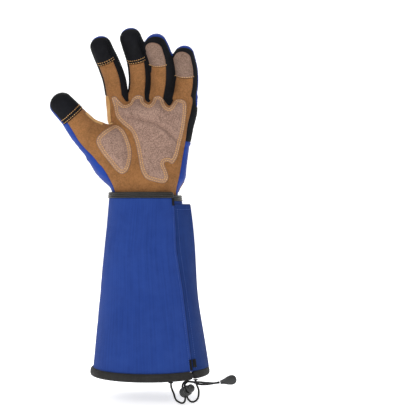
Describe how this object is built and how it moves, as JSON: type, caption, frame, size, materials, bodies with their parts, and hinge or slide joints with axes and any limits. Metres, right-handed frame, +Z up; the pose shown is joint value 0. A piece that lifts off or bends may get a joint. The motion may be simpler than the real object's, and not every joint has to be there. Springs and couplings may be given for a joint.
{
  "type": "rose pruning gauntlet",
  "caption": "Left-hand rose pruning gauntlet: leather palm, suede pads, stretch back, smooth fingertip caps, long flared cuff with a slit, flap and draw cord.",
  "frame": {"origin": "middle of the cuff's lower rim, where the forearm goes in", "axes": "+Z up from the rim to the fingertips, -Y out of the palm, +X towards the little finger"},
  "size_m": [0.2097, 0.1152, 0.4198],
  "materials": {
    "tan_leather": "matt, fine grained",
    "pale_leather": "matt, soft",
    "suede": "napped suede, matt",
    "brown_suede": "napped suede, matt",
    "blue_stretch": "smooth stretch knit",
    "blue_canvas": "fine plain weave, matt",
    "black_knit": "matt",
    "black_grip": "smooth, slightly sheened",
    "grey_binding": "ribbed, slightly glossy",
    "cord_black": "round elastic cord",
    "black_plastic": "semi-gloss moulded"
  },
  "bodies": {
    "root": {"palm_leather": "tan_leather", "thumb_gusset": "pale_leather", "palm_gusset": "pale_leather", "back_stretch": "blue_stretch", "index_outer_side": "black_knit", "index_middle_side": "black_knit", "middle_ring_side": "black_knit", "ring_little_side": "black_knit", "thumb_tip": "black_grip", "index_tip": "black_grip", "middle_tip": "black_grip", "ring_tip": "suede", "little_tip": "suede", "palm_pad": "suede", "thenar_pad": "suede", "knuckle_patch": "brown_suede", "wrist_tab": "brown_suede", "middle_strip": "brown_suede", "ring_strip": "brown_suede", "little_strip": "brown_suede", "index_patch": "black_grip", "cuff_body": "blue_canvas", "cuff_flap": "blue_canvas", "cuff_hem": "grey_binding", "wrist_binding": "grey_binding", "slit_tape_low": "black_knit", "slit_tape_high": "black_knit", "hem_tab": "black_knit", "draw_cord_front": "cord_black", "draw_cord_side": "cord_black", "eyelet_front": "black_plastic", "eyelet_side": "black_plastic", "cord_lock_body": "black_plastic", "cord_lock_button": "black_plastic", "cord_end": "black_plastic"}
  },
  "joints": []
}
